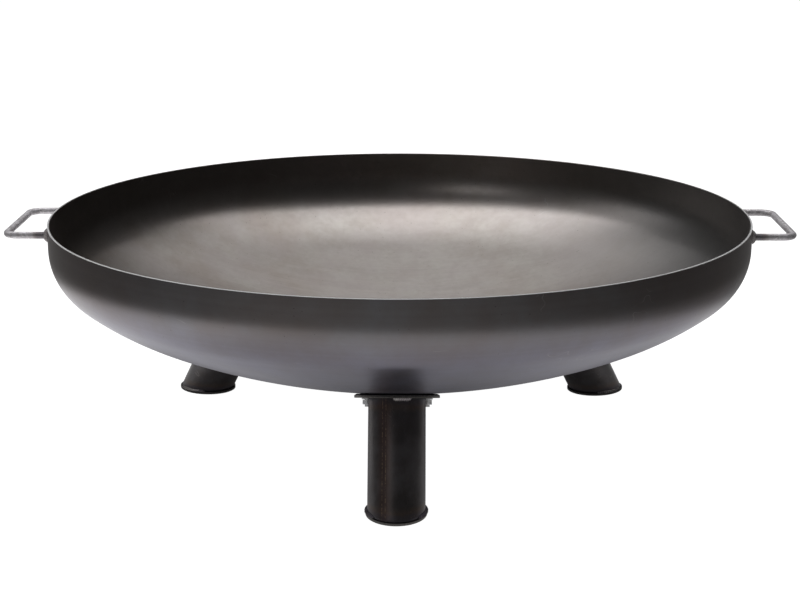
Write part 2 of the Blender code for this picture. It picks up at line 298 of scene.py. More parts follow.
scratches = shaderGroup(
    "scratches",
    [
        ("Vector", "Vector", None),
        ("Scale", "Float", 60.0),
        ("Turn", "Float", 0.4),
        ("Width", "Float", 0.012),
        ("Gate", "Float", 0.55),
    ],
    [("Mask", "Float")],
    buildScratches,
)


# Bare metal along an edge: the edge value pushed up and down by noise, then cut at a half
def buildEdgeWear(tree, given):
    rough = noise(tree, given["Vector"], given["Scale"], 4.0, 0.7)
    pushed = calc(tree, "ADD", given["Edge"], calc(tree, "SUBTRACT", rough, 0.55))
    return {"Mask": ease(tree, pushed, 0.42, 0.62)}


edgeWear = shaderGroup(
    "edgeWear",
    [("Edge", "Float", 0.0), ("Vector", "Vector", None), ("Scale", "Float", 300.0)],
    [("Mask", "Float")],
    buildEdgeWear,
)


# Oxide colours of heated steel by distance in millimetres: blue-grey, brown, straw, then none
def buildHeatTint(tree, given):
    wobble = noise(tree, given["Vector"], 180.0, 3.0)
    pushed = calc(tree, "MULTIPLY", calc(tree, "SUBTRACT", wobble, 0.5), 8.0)
    away = calc(tree, "ADD", given["Distance"], pushed)
    share = calc(tree, "DIVIDE", away, given["Reach"], clamp=True)
    made = tree.nodes.new("ShaderNodeValToRGB")
    made.color_ramp.interpolation = "EASE"
    stops = ((0.0, (0.11, 0.12, 0.16, 1)), (0.3, (0.13, 0.10, 0.12, 1)), (0.62, (0.24, 0.14, 0.07, 1)))
    made.color_ramp.elements[0].color = stops[0][1]
    made.color_ramp.elements[1].color = (0.30, 0.22, 0.12, 1)
    for place, color in stops[1:]:
        made.color_ramp.elements.new(place).color = color
    tree.links.new(share, made.inputs[0])
    return {"Color": made.outputs[0], "Mask": ease(tree, share, 0.25, 1.0, 1.0, 0.0)}


heatTint = shaderGroup(
    "heatTint",
    [("Distance", "Float", 0.0), ("Vector", "Vector", None), ("Reach", "Float", 8.0)],
    [("Color", "Color"), ("Mask", "Float")],
    buildHeatTint,
)


# A metal: links for colour, roughness and bump height, and for metallic where the look gives one
def metal(name, build, metallic=1.0, bump=0.0002):
    made = bpy.data.materials.new(name)
    made.use_nodes = True
    tree = made.node_tree
    shader = tree.nodes["Principled BSDF"]
    shader.inputs["Metallic"].default_value = metallic
    place = node(tree, "TexCoord")["Object"]
    color, roughness, height, *own = build(tree, place)
    for value in own:
        tree.links.new(value, shader.inputs["Metallic"])
    tree.links.new(color, shader.inputs["Base Color"])
    tree.links.new(roughness, shader.inputs["Roughness"])
    tilt = node(tree, "Bump", {"Height": height, "Distance": bump, "Strength": 1.0})[0]
    tree.links.new(tilt, shader.inputs["Normal"])
    return made


print("node groups made:", len(bpy.data.node_groups))

# ---- bowl ----
bowlLow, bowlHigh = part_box("bowl")
bowl = {
    "radius": bowlHigh.x,
    "rimHeight": bowlHigh.z,
    "bottom": bowlLow.z,
    "wall": 0.003,
    "crownShare": 1.875,  # arcs of the dished end, as shares of its radius
    "shoulderShare": 0.729,
    "knuckleShare": 0.1585,
    "crownHalfAngle": math.radians(24.9),
    "rimRound": 0.0006,
    "dent": 0.00012,  # depth of the pressing's slow waves
    "around": 480,
    "rimShort": 0.0002,  # from the last row of the band to the rounding
    "rows": (34, 12, 16, 7),  # rows of crown, shoulder, knuckle and band
    "groundShare": (0.55, 0.68),  # the ground strip stops between these shares of the wall
}
crownRadius = bowl["crownShare"] * bowl["radius"]


# The dished end's three arcs moved in by offset, then the upright band: (radius, height)
def bowlWall(offset, steps):
    crown = crownRadius
    shoulder = bowl["shoulderShare"] * bowl["radius"]
    knuckle = bowl["knuckleShare"] * bowl["radius"]
    half = bowl["crownHalfAngle"]
    shoulderX = (crown - shoulder) * math.sin(half)
    shoulderZ = crown - (crown - shoulder) * math.cos(half)
    end = math.asin((bowl["radius"] - knuckle - shoulderX) / (shoulder - knuckle))
    knuckleX = shoulderX + (shoulder - knuckle) * math.sin(end)
    knuckleZ = shoulderZ - (shoulder - knuckle) * math.cos(end)
    crownArc = arc(0.0, crown, crown - offset, 0.0, half, steps[0])
    shoulderArc = arc(shoulderX, shoulderZ, shoulder - offset, half, end, steps[1])
    knuckleArc = arc(knuckleX, knuckleZ, knuckle - offset, end, math.pi / 2, steps[2])
    dished = np.concatenate([crownArc, shoulderArc[1:], knuckleArc[1:]])
    dished[:, 1] += bowl["bottom"]
    bandEnd = bowl["rimHeight"] - bowl["rimRound"]
    band = np.append(np.linspace(dished[-1, 1], bandEnd, steps[3])[1:-1], bandEnd - bowl["rimShort"])
    return np.concatenate([dished, np.stack([np.full(len(band), bowl["radius"] - offset), band], 1)])


# The section turned about z, less dent * (1 + waves of r and angle) / 2 along the radius and height
def buildBowl():
    outer = bowlWall(0.0, bowl["rows"])
    inner = bowlWall(bowl["wall"], bowl["rows"])[::-1]
    r, e = bowl["radius"], bowl["rimRound"]
    top = bowl["rimHeight"] - e
    lipRows = 5
    lipOut = arc(r - e, top, e, math.pi / 2, math.pi, lipRows)
    lipIn = arc(r - bowl["wall"] + e, top, e, math.pi, 1.5 * math.pi, lipRows)
    ground = np.stack([r - bowl["wall"] * np.array(bowl["groundShare"]), np.full(2, bowl["rimHeight"])], 1)
    section = np.concatenate([outer, lipOut, ground, lipIn, inner])
    count = len(section)
    angle = np.arange(bowl["around"])[None, :] * tau / bowl["around"]
    radius, height = section[:, :1], section[:, 1:]
    points = np.empty((count, bowl["around"], 3))
    waves = 0.5 * np.sin(3 * angle + 0.7) + 0.3 * np.sin(5 * angle + 26 * radius)
    waves = waves + 0.2 * np.sin(2 * angle - 40 * radius)
    inward = bowl["dent"] * 0.5 * (1 - waves) * smooth(0.12, 0.30, radius)
    lift = bowl["dent"] * 0.5 * (1 + waves) * smooth(0.10, 0.22, radius) * (1 - smooth(0.36, 0.39, radius))
    shrunk = radius - inward
    points[..., 0] = shrunk * np.cos(angle)
    points[..., 1] = shrunk * np.sin(angle)
    points[..., 2] = height + lift
    place = np.arange(count)
    lipStart = len(outer)
    groundEnd = lipStart + lipRows + 1
    inside = (place >= groundEnd).astype(float)[:, None]
    lip = ((place > lipStart) & (place < groundEnd)).astype(float)[:, None]
    return gridMesh("fireBowl", points, attributes={"inside": inside, "lip": lip}, sharp=50)


# Where each colour of the bowl comes and goes: from and to (height or x), and the share at each
bowlZones = {
    "under": (0.165, 0.232, 1.0, 0.0),  # blue below, brown on the band
    "sides": (0.14, 0.42, 0.0, 0.95),  # browner towards the handles
    "cool": (0.14, 0.38, 0.0, 0.7),  # inside, greyer to the right
    "flat": (0.10, 0.17, 1.0, 0.15),  # roll lines fade up the wall
    "wall": (0.165, 0.225),  # dark painted shade on the inside of the wall
    "left": (-0.10, 0.14, 0.62, 0.1),  # most of the painted shade on the left
}

bowlColors = {
    "scaleBrown": (0.176, 0.154, 0.149, 1),
    "scaleGrey": (0.212, 0.212, 0.223, 1),
    "sideBrown": (0.150, 0.114, 0.104, 1),
    "blueDark": (0.210, 0.203, 0.260, 1),
    "bluePale": (0.247, 0.240, 0.310, 1),
    "outsideSmudge": (0.17, 0.14, 0.12, 1),
    "ring": (0.10, 0.095, 0.095, 1),
    "insideDark": (0.282, 0.248, 0.226, 1),
    "insidePale": (0.335, 0.317, 0.298, 1),
    "insideSmudge": (0.222, 0.192, 0.176, 1),
    "bloom": (0.322, 0.290, 0.287, 1),
    "cool": (0.262, 0.262, 0.266, 1),
    "streak": (0.42, 0.39, 0.36, 1),
    # painted shade for the upper inside wall
    "sootAndPaintedShade": (0.075, 0.066, 0.064, 1),
    "fleck": (0.06, 0.055, 0.05, 1),
    "scratch": (0.42, 0.41, 0.40, 1),
    "ground": (0.93, 0.93, 0.93, 1),
}


# Outside: blue-grey mill scale. Inside: rubbed warm grey. Rim: ground bare.
def bowlLook(tree, place):
    inside, lip = attribute(tree, "inside"), attribute(tree, "lip")
    cloud = useGroup(tree, patches, place, Scale=5.0, Softness=0.16)
    small = useGroup(tree, patches, place, Scale=34.0, Softness=0.2)
    lines = useGroup(tree, rollLines, place, Scale=75.0)[0]
    flecks = useGroup(tree, specks, place, Scale=520.0, Share=0.02)[0]
    hair = useGroup(tree, scratches, place, Scale=55.0, Turn=0.25, Gate=0.62, Width=0.008)[0]

    # Rings from the pressing tool: noise on height alone, so that each ring runs all the way round
    parts = node(tree, "SeparateXYZ", {0: place})
    level = node(tree, "CombineXYZ", {2: parts[2]})[0]
    rings = noise(tree, level, 210.0, 2.0, 0.6)

    low = ease(tree, parts[2], *bowlZones["under"])
    across = calc(tree, "ABSOLUTE", parts[0])
    warmSide = ease(tree, across, *bowlZones["sides"])
    brown = mixColor(tree, cloud["Mask"], bowlColors["scaleBrown"], bowlColors["scaleGrey"])
    brown = mixColor(tree, warmSide, brown, bowlColors["sideBrown"])
    blue = mixColor(tree, cloud["Mask"], bowlColors["blueDark"], bowlColors["bluePale"])
    outsideGrey = mixColor(tree, low, brown, blue)
    outsideGrey = layer(tree, outsideGrey, small["Mask"], 0.25, bowlColors["outsideSmudge"])
    outsideGrey = layer(tree, outsideGrey, rings, 0.35, bowlColors["ring"])
    insideGrey = mixColor(tree, cloud["Mask"], bowlColors["insideDark"], bowlColors["insidePale"])
    insideGrey = layer(tree, insideGrey, small["Mask"], 0.45, bowlColors["insideSmudge"])
    bloom = useGroup(tree, patches, place, Scale=9.0, Softness=0.1)[0]
    insideGrey = layer(tree, insideGrey, bloom, 0.4, bowlColors["bloom"])
    cool = ease(tree, parts[0], *bowlZones["cool"])
    insideGrey = mixColor(tree, cool, insideGrey, bowlColors["cool"])
    flat = ease(tree, parts[2], *bowlZones["flat"])
    streak = calc(tree, "MULTIPLY", ease(tree, lines, 0.40, 0.62, 0.0, 0.22), flat)
    insideGrey = mixColor(tree, streak, insideGrey, bowlColors["streak"])
    # Painted shade: the upper inside wall darkened, most of it on the left
    high = ease(tree, parts[2], *bowlZones["wall"])
    wall = calc(tree, "MULTIPLY", high, ease(tree, parts[0], *bowlZones["left"]))
    insideGrey = mixColor(tree, wall, insideGrey, bowlColors["sootAndPaintedShade"])
    color = mixColor(tree, inside, outsideGrey, insideGrey)
    color = layer(tree, color, flecks, 0.6, bowlColors["fleck"])
    color = layer(tree, color, hair, 0.35, bowlColors["scratch"])
    edge = useGroup(tree, edgeWear, place, Edge=calc(tree, "MULTIPLY", lip, 1.4), Scale=160.0)[0]
    color = mixColor(tree, edge, color, bowlColors["ground"])

    outsideRough = mixValue(tree, cloud["Fine"], 0.26, 0.38)
    insideRough = mixValue(tree, small["Fine"], 0.30, 0.42)
    roughness = mixValue(tree, inside, outsideRough, insideRough)
    roughness = plus(tree, roughness, streak, 0.2)
    roughness = mixValue(tree, edge, roughness, 0.42)
    height = plus(tree, calc(tree, "MULTIPLY", small["Fine"], 0.5), streak, 0.5)
    height = calc(tree, "SUBTRACT", height, calc(tree, "MULTIPLY", flecks, 0.15))
    return color, roughness, height, mixValue(tree, edge, 1.0, 0.15)


bowlMetal = metal("bowlScale", bowlLook, bump=0.00012)
addPiece("fireBowl", buildBowl(), bowlMetal, "bowl_steel", "bowl")
print("bowl made")

# ---- handles ----
handle = {
    "bar": 0.004,
    "width": 0.135,
    "reach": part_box("handle_right")[1].x - bowl["radius"] - 0.004,
    "height": (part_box("handle_right")[0].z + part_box("handle_right")[1].z) / 2,
    "bend": 0.014,
    "around": 28,
    "hammer": 0.00006,  # depth of the bar's own unevenness
    "collarLeg": 0.0042,
    "collarRipples": 17,
    "collarHeat": 6.0,
}


# How far out the band lies at this y, plus a clearance square to it: sqrt((R + c)^2 - y^2)
def wallX(y, clearance):
    return np.sqrt((bowl["radius"] + clearance) ** 2 - y * y)


# A bar along straight, quarter arc, straight, quarter arc, straight. Ring centre + out r cos s + up r sin s.
def buildHandle(side):
    half, bend = handle["width"] / 2, handle["bend"]
    far = bowl["radius"] + handle["reach"]
    start = bowl["radius"]
    s = np.arange(handle["around"]) * tau / handle["around"]
    straight = np.linspace(start + 0.001, far - bend, 14)[:-1]
    a = np.linspace(0, math.pi / 2, 17)
    armX = np.concatenate([straight, far - bend + bend * np.sin(a)])
    armY = np.concatenate([np.full(len(straight), half), half - bend + bend * np.cos(a)])
    armTurn = np.concatenate([np.zeros(len(straight)), a])
    acrossY = np.linspace(half - bend, bend - half, 44)[1:-1]
    x = np.concatenate([armX, np.full(len(acrossY), far), armX[::-1]])
    y = np.concatenate([armY, acrossY, -armY[::-1]])
    turn = np.concatenate([armTurn, np.full(len(acrossY), math.pi / 2), math.pi - armTurn[::-1]])
    run = np.concatenate([[0], np.cumsum(np.hypot(np.diff(x), np.diff(y)))])[:, None]
    dips = 0.5 + 0.5 * wander(run * 190 + 2 * s[None, :], side + 2) * np.cos(3 * s + run * 60)
    r = handle["bar"] - handle["hammer"] * dips
    out = np.cos(s) * r
    points = np.stack(
        [
            x[:, None] + np.sin(turn)[:, None] * out,
            y[:, None] + np.cos(turn)[:, None] * out,
            handle["height"] + np.sin(s) * r,
        ],
        axis=-1,
    )
    for end in (0, -1):  # the end rings run on to the curved wall
        points[end, :, 0] = wallX(points[end, :, 1], mateGap)
    caps = [np.repeat(points[end].mean(0)[None, None], handle["around"], axis=1) for end in (0, -1)]
    points = np.concatenate([caps[0], points, caps[1]])
    points[..., :2] *= side
    ends = np.minimum(run, run[-1] - run) * 1000
    away = np.concatenate([[[0.0]], ends, [[0.0]]])
    return gridMesh("handle", points, attributes={"away": away}, sharp=50)


# Section of a bead: along the plate, round the face, back down the bar, (out, along) in legs
def beadSection(count):
    a = np.linspace(0, math.pi / 2, count)
    face = np.stack([np.cos(a) ** 1.6, np.sin(a) ** 1.6], 1)
    foot = np.stack([np.linspace(0.0, 1.0, 5)[:-1], np.zeros(4)], 1)
    back = np.stack([np.zeros(3), np.linspace(1.0, 0.0, 5)[1:-1]], 1)
    return np.concatenate([foot, face, back])


# Ripples of a laid bead: each ripple climbs as the square root of its share, then drops
def ripples(run, count, seed):
    step = run * count + 0.22 * wander(run * count, seed)
    share = np.mod(step, 1.0)
    return np.sqrt(share) * (0.75 + 0.5 * roll(np.floor(step), seed)) * smooth(1.0, 0.86, share)


# A ring of weld round the bar's end on the wall: leg = L (0.93 + 0.07 wander + 0.07 ripple)
def buildCollar(side, yEnd, seed):
    count = 170
    run = np.arange(count)[:, None] / count
    turn = run * tau
    section = beadSection(12)
    bulge = ripples(run + 0.045 * section[:, 0] ** 2, handle["collarRipples"], seed)
    leg = handle["collarLeg"] * (0.93 + 0.07 * wander(turn, seed) + 0.07 * bulge)
    out = handle["bar"] + mateGap + section[:, 0] * (leg - mateGap)
    along = mateGap + section[:, 1] * (leg - mateGap)
    y = yEnd + out * np.cos(turn)
    z = handle["height"] + out * np.sin(turn)
    points = np.stack([side * (wallX(y, mateGap) + along - mateGap), side * y, z], axis=-1)
    away = np.full(bulge.shape, handle["collarHeat"]) + 4.0 * bulge
    return gridMesh("collar", points, wrapRows=True, attributes={"away": away}, sharp=60)


barColors = {
    "dark": (0.60, 0.57, 0.59, 1),
    "pale": (0.86, 0.84, 0.88, 1),
    "grime": (0.30, 0.27, 0.27, 1),
    "scuff": (0.95, 0.93, 0.93, 1),
    "pit": (0.09, 0.08, 0.075, 1),
    "dulled": (0.16, 0.14, 0.145, 1),
}


# Drawn bar, bare: light grey with scratches along it, smudges, and heat colours near the welds
def barLook(tree, place):
    smudge = useGroup(tree, patches, place, Scale=40.0, Softness=0.14)
    fine = useGroup(tree, patches, place, Scale=240.0, Softness=0.12)
    long = useGroup(tree, scratches, place, Scale=240.0, Turn=1.57, Gate=0.50, Width=0.05)[0]
    short = useGroup(tree, scratches, place, Scale=160.0, Turn=0.3, Gate=0.52, Width=0.04)[0]
    pits = useGroup(tree, specks, place, Scale=420.0, Share=0.12)[0]
    heat = useGroup(tree, heatTint, place, Distance=attribute(tree, "away"), Reach=14.0)
    color = mixColor(tree, smudge["Mask"], barColors["dark"], barColors["pale"])
    color = layer(tree, color, fine["Mask"], 0.45, barColors["grime"])
    scuffs = calc(tree, "MAXIMUM", long, short)
    color = layer(tree, color, scuffs, 0.85, barColors["scuff"])
    color = layer(tree, color, pits, 0.55, barColors["pit"])
    dull = mixColor(tree, 0.65, heat["Color"], barColors["dulled"])
    color = layer(tree, color, heat["Mask"], 0.8, dull)
    roughness = mixValue(tree, fine["Fine"], 0.38, 0.60)
    height = plus(tree, calc(tree, "MULTIPLY", fine["Fine"], 0.8), scuffs, -0.2)
    return color, roughness, height


weldColors = {
    "paintedValleyShade": (0.09, 0.08, 0.075, 1),
    # painted highlight colour for the ripples' crests
    "crest": (0.44, 0.42, 0.41, 1),
    "tint": (0.20, 0.17, 0.19, 1),
    "sootAndPaintedShade": (0.04, 0.035, 0.03, 1),
}


# Bead of weld: painted shade in the valleys, painted highlight on the ripples' crests, with tinted patches
# and soot
def weldLook(tree, place):
    crest = attribute(tree, "ripple")
    tint = useGroup(tree, patches, place, Scale=70.0, Softness=0.1)
    sootAndPaintedShade = useGroup(tree, specks, place, Scale=900.0, Share=0.2)[0]
    # painted shade in the valleys and painted highlight on the crests
    color = mixColor(tree, crest, weldColors["paintedValleyShade"], weldColors["crest"])
    color = layer(tree, color, tint["Mask"], 0.5, weldColors["tint"])
    color = layer(tree, color, sootAndPaintedShade, 0.6, weldColors["sootAndPaintedShade"])
    roughness = mixValue(tree, tint["Fine"], 0.32, 0.58)
    return color, roughness, plus(tree, tint["Fine"], crest, 0.3)


barMetal = metal("drawnBar", barLook, metallic=0.45, bump=0.00008)
weldMetal = metal("weldBead", weldLook, bump=0.0002)
for label, side in (("left", -1.0), ("right", 1.0)):
    addPiece(f"grip_{label}", buildHandle(side), barMetal, "bar_steel", f"handle_{label}")
    for seed, yEnd in enumerate((handle["width"] / 2, -handle["width"] / 2)):
        place = "back" if side * yEnd > 0 else "front"
        mesh = buildCollar(side, yEnd, seed + 3 * side + 7)
        addPiece(f"collar_{label}_{place}", mesh, barMetal, "weld_steel", f"handle_weld_{label}_{place}")
print("handles made")

# ---- legs ----
leg = {
    "lean": math.radians(28.8),
    "tube": 0.03015,
    "tubeWall": 0.0029,
    "around": 144,
    "cutEdge": 0.00035,  # rounding of the sawn ends
    "seamWidth": 0.0036,
    "seamDip": 0.00010,
    "seamTurn": {"front": 25.0, "right": 205.0, "left": 160.0},
    "topPlate": 0.04495,
    "seat": 0.0425,  # how far out the top plate's upper face follows the bowl
    "plateThickness": 0.003,
    "plateEdge": 0.0004,
    "footMargin": 0.0018,
    "studCircle": 0.03655,
    "studTurn": math.radians(120),
}
stitchSizes = {
    "top": {"leg": 0.0034, "half": math.radians(18), "ripples": 9},
    "foot": {"leg": 0.0030, "half": math.radians(34), "ripples": 15},
}
# Middle of each bead, in degrees round the tube from the outward side
stitchPlaces = {"top": {"outer": -11.0, "inner": 180.0}, "foot": {"a": 82.0, "b": -82.0}}


# Where one leg stands: its foot, its own direction, and the crown's outward direction where it meets it
def legPlace(label):
    low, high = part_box(f"foot_plate_{label}")
    middle = np.array([(low.x + high.x) / 2, (low.y + high.y) / 2, 0.0])
    outwards = unit(middle)
    down = outwards * math.sin(leg["lean"]) - up * math.cos(leg["lean"])
    foot = middle + up * leg["plateThickness"]
    crownCentre = up * (bowl["bottom"] + crownRadius)
    back = foot - crownCentre
    b = -np.dot(back, down)
    touch = foot - down * (-b - math.sqrt(b * b - (np.dot(back, back) - crownRadius**2)))
    normal = unit(touch - crownCentre)
    plateTop = touch + normal * mateGap
    return {
        "label": label,
        "outwards": outwards,
        "down": down,
        "foot": foot,
        "normal": normal,
        "plateTop": plateTop,
        "plateUnder": plateTop + normal * leg["plateThickness"],
    }


# point + axis * ((origin - point) . normal) / (axis . normal), for a whole array of points
def cutBy(points, axis, origin, normal):
    return points + axis * (((origin - points) @ normal) / np.dot(axis, normal))[..., None]


# Tube between two slanting planes: rows of (radius, share of the length, step along it)
def buildTube(at):
    axis, e = at["down"], leg["cutEdge"]
    first, second = sides(axis, at["outwards"])
    turn = np.arange(leg["around"]) * tau / leg["around"]
    ring = np.cos(turn)[:, None] * first + np.sin(turn)[:, None] * second
    outer, inner = leg["tube"], leg["tube"] - leg["tubeWall"]
    a = np.linspace(0, math.pi / 2, 4)
    edgeIn, edgeAlong = e * (1 - np.sin(a)), e * (1 - np.cos(a))
    share = np.linspace(0, 1, 46)[1:-1]
    rows = [(outer - i, 0.0, d) for i, d in zip(edgeIn, edgeAlong)]
    rows += [(outer, s, 0.0) for s in share]
    rows += [(outer - i, 1.0, -d) for i, d in zip(edgeIn[::-1], edgeAlong[::-1])]
    rows += [(inner + i, 1.0, -d) for i, d in zip(edgeIn, edgeAlong)]
    rows += [(inner, s, 0.0) for s in share[::-6]]
    rows += [(inner + i, 0.0, d) for i, d in zip(edgeIn[::-1], edgeAlong[::-1])]
    radius, portion, step = np.array(rows).T
    seam = math.radians(leg["seamTurn"][at["label"]])
    offSeam = (np.mod(turn - seam + math.pi, tau) - math.pi) * outer
    flat = smooth(leg["seamWidth"] / 2 + 0.0005, leg["seamWidth"] / 2, np.abs(offSeam))
    outside = (np.abs(radius - outer) < 2 * e).astype(float)
    radius = radius[:, None] - leg["seamDip"] * flat[None, :] * outside[:, None]
    spread = at["foot"] + radius[..., None] * ring
    top = cutBy(spread, axis, at["plateUnder"] + at["normal"] * mateGap, at["normal"])
    bottom = cutBy(spread, axis, at["foot"] + up * mateGap, up)
    points = lerp(top, bottom, portion[:, None, None]) + axis * step[:, None, None]
    topAway = np.linalg.norm(points - top, axis=-1) * 1000
    footAway = np.linalg.norm(points - bottom, axis=-1) * 1000
    attributes = {
        "seam": np.broadcast_to(offSeam * 1000, topAway.shape),
        "outer": np.broadcast_to(outside[:, None], topAway.shape),
        "away": np.minimum(topAway, footAway),
    }
    return gridMesh("tube", points, wrapRows=True, attributes=attributes, sharp=50)


# A disc's half outline with round edges, (radius, height): flat, quarter arc, quarter arc, flat
def discSection(radius, thickness, edge):
    flat = np.linspace(0, radius - edge, 12)[:-1]
    low = arc(radius - edge, edge, edge, 0, math.pi / 2, 5)
    high = arc(radius - edge, thickness - edge, edge, math.pi / 2, math.pi, 5)
    bottom = np.stack([flat, np.zeros(len(flat))], 1)
    top = np.stack([flat[::-1], np.full(len(flat), thickness)], 1)
    return np.concatenate([bottom, low, high, top])


def rimMask(section, radius, edge):  # 1 on the cut edge of a disc, 0 on its faces
    return (section[:, 0] > radius - edge - 1e-6).astype(float)[:, None]


# Takes a plain cylinder out of a mesh for each centre, and keeps the result as a plain mesh
def drill(mesh, centres, axis, radius, reach):
    body = bpy.data.objects.new("drilled", mesh)
    scene.collection.objects.link(body)
    cutters = []
    for centre in centres:
        section = np.array([[0, -reach], [radius, -reach], [radius, reach], [0, reach]], float)
        bit = gridMesh("bit", turned(centre, axis, np.array([1.0, 0, 0]), section, 40))
        cutter = bpy.data.objects.new("bit", bit)
        scene.collection.objects.link(cutter)
        cutters.append(cutter)
        hole = body.modifiers.new("hole", "BOOLEAN")
        hole.operation = "DIFFERENCE"
        hole.object = cutter
    graph = bpy.context.evaluated_depsgraph_get()
    made = bpy.data.meshes.new_from_object(body.evaluated_get(graph))
    for helper in [body, *cutters]:
        bpy.data.objects.remove(helper)
    made.set_sharp_from_angle(angle=math.radians(40))
    return made


def studSeats(at):  # (tag, place on the plate's upper face, direction from the plate's middle)
    across, along = sides(at["normal"], at["outwards"])
    for tag, sign in (("a", 1), ("b", -1)):
        t = sign * leg["studTurn"]
        towards = across * math.cos(t) + along * math.sin(t)
        yield tag, at["plateTop"] + towards * leg["studCircle"], towards


# The plate's upper face fills the crown's hollow out to the seat: height = -(R - sqrt(R^2 - r^2))
def buildTopPlate(at, bore):
    rim = discSection(leg["topPlate"], leg["plateThickness"], leg["plateEdge"])
    rim = rim[rim[:, 0] > leg["seat"]]
    r = np.linspace(0, leg["seat"], 40)
    seat = np.stack([r, np.sqrt(crownRadius**2 - r**2) - crownRadius], 1)
    under = np.array([[leg["seat"] * share, leg["plateThickness"]] for share in (1.0, 0.66, 0.33, 0.0)])
    section = np.concatenate([seat, rim, under])
    points = turned(at["plateTop"], at["normal"], at["outwards"], section, 160)
    edge = rimMask(section, leg["topPlate"], leg["plateEdge"])
    mesh = gridMesh("topPlate", points, attributes={"edge": edge})
    return drill(mesh, [hole for _, hole, _ in studSeats(at)], at["normal"], bore, 0.01)


# An oval disc: the radius grows by 1 / sqrt(cos^2 t / s^2 + sin^2 t), s the ratio of its half-axes
def buildFootPlate(at):
    tangential = leg["tube"] + leg["footMargin"]
    radial = leg["tube"] / math.cos(leg["lean"]) + leg["footMargin"]
    ratio = radial / tangential

    def oval(r, d, t):
        grown = 1 / np.sqrt((np.cos(t) / ratio) ** 2 + np.sin(t) ** 2)
        return r * grown, d + 0.0 * t

    section = discSection(tangential, leg["plateThickness"], leg["plateEdge"])
    base = at["foot"] - up * leg["plateThickness"]
    points = turned(base, up, at["outwards"], section, 160, oval)
    edge = rimMask(section, tangential, leg["plateEdge"])
    return gridMesh("footPlate", points, attributes={"edge": edge})


# A bead in the corner of tube and plate. Its leg fades to a third at the ends, and carries ripples.
def buildStitch(centre, axis, normal, outwards, middle, size, seed):
    across, along = sides(axis, outwards)
    count = 120
    place = np.linspace(-1, 1, count)[:, None]
    turn = math.radians(middle) + size["half"] * place
    outward = np.cos(turn) * across + np.sin(turn) * along
    base = cutBy(centre + outward * leg["tube"], axis, centre, normal)
    flatOut = unit(outward - normal * (outward @ normal)[:, None])
    section = beadSection(12)
    bulge = ripples((place + 1) / 2 + 0.035 * section[:, 0] ** 2, size["ripples"], seed)
    body = 0.35 + 0.65 * np.sqrt(np.clip(1 - place**4, 0, 1))
    reach = size["leg"] * body * (0.92 + 0.07 * wander(place * 4, seed) + 0.10 * bulge)
    corner = base + flatOut * mateGap + axis * mateGap / np.dot(axis, normal)
    out = (section[:, 0] * (reach - mateGap))[..., None]
    rise = (section[:, 1] * (reach - mateGap))[..., None]
    points = corner[:, None] + out * flatOut[:, None] + rise * axis
    caps = [np.repeat(points[end].mean(0)[None, None], points.shape[1], axis=1) for end in (0, -1)]
    points = np.concatenate([caps[0], points, caps[1]])
    bulge = np.concatenate([bulge[:1], bulge, bulge[-1:]])
    return gridMesh("stitch", points, attributes={"ripple": bulge}, sharp=60)


tubeColors = {
    "dark": (0.080, 0.073, 0.074, 1),
    "pale": (0.125, 0.118, 0.121, 1),
    "smudge": (0.085, 0.072, 0.066, 1),
    "seamBand": (0.115, 0.072, 0.062, 1),
    "seamLine": (0.34, 0.25, 0.18, 1),
    "scratch": (0.35, 0.33, 0.31, 1),
    "fleck": (0.16, 0.13, 0.11, 1),
}


# Drawn tube with its scale on: near black, a planed seam with two bright lines, heat near the welds
def tubeLook(tree, place):
    cloud = useGroup(tree, patches, place, Scale=16.0, Softness=0.13)
    small = useGroup(tree, patches, place, Scale=95.0, Softness=0.14)
    hair = useGroup(tree, scratches, place, Scale=85.0, Turn=1.3, Gate=0.60, Width=0.02)[0]
    flecks = useGroup(tree, specks, place, Scale=330.0, Share=0.04)[0]
    heat = useGroup(tree, heatTint, place, Distance=attribute(tree, "away"), Reach=16.0)
    off = calc(tree, "ABSOLUTE", attribute(tree, "seam"))
    outer = attribute(tree, "outer")
    line = ease(tree, calc(tree, "ABSOLUTE", calc(tree, "SUBTRACT", off, 1.9)), 0.15, 0.75, 1.0, 0.0)
    broken = ease(tree, noise(tree, place, 420.0, 3.0), 0.42, 0.62)
    line = calc(tree, "MULTIPLY", calc(tree, "MULTIPLY", line, broken), outer)
    band = calc(tree, "MULTIPLY", ease(tree, off, 1.5, 11.0, 1.0, 0.0), outer)
    color = mixColor(tree, cloud["Mask"], tubeColors["dark"], tubeColors["pale"])
    color = layer(tree, color, small["Mask"], 0.35, tubeColors["smudge"])
    color = layer(tree, color, band, 0.6, tubeColors["seamBand"])
    color = layer(tree, color, heat["Mask"], 0.25, heat["Color"])
    color = layer(tree, color, line, 0.75, tubeColors["seamLine"])
    color = layer(tree, color, hair, 0.22, tubeColors["scratch"])
    color = layer(tree, color, flecks, 0.5, tubeColors["fleck"])
    roughness = mixValue(tree, cloud["Fine"], 0.30, 0.50)
    height = plus(tree, small["Fine"], hair, -0.2)
    return color, roughness, height


plateColors = {
    "dark": (0.075, 0.068, 0.066, 1),
    "pale": (0.125, 0.118, 0.118, 1),
    "cutDark": (0.07, 0.065, 0.062, 1),
    "cutPale": (0.17, 0.16, 0.152, 1),
}


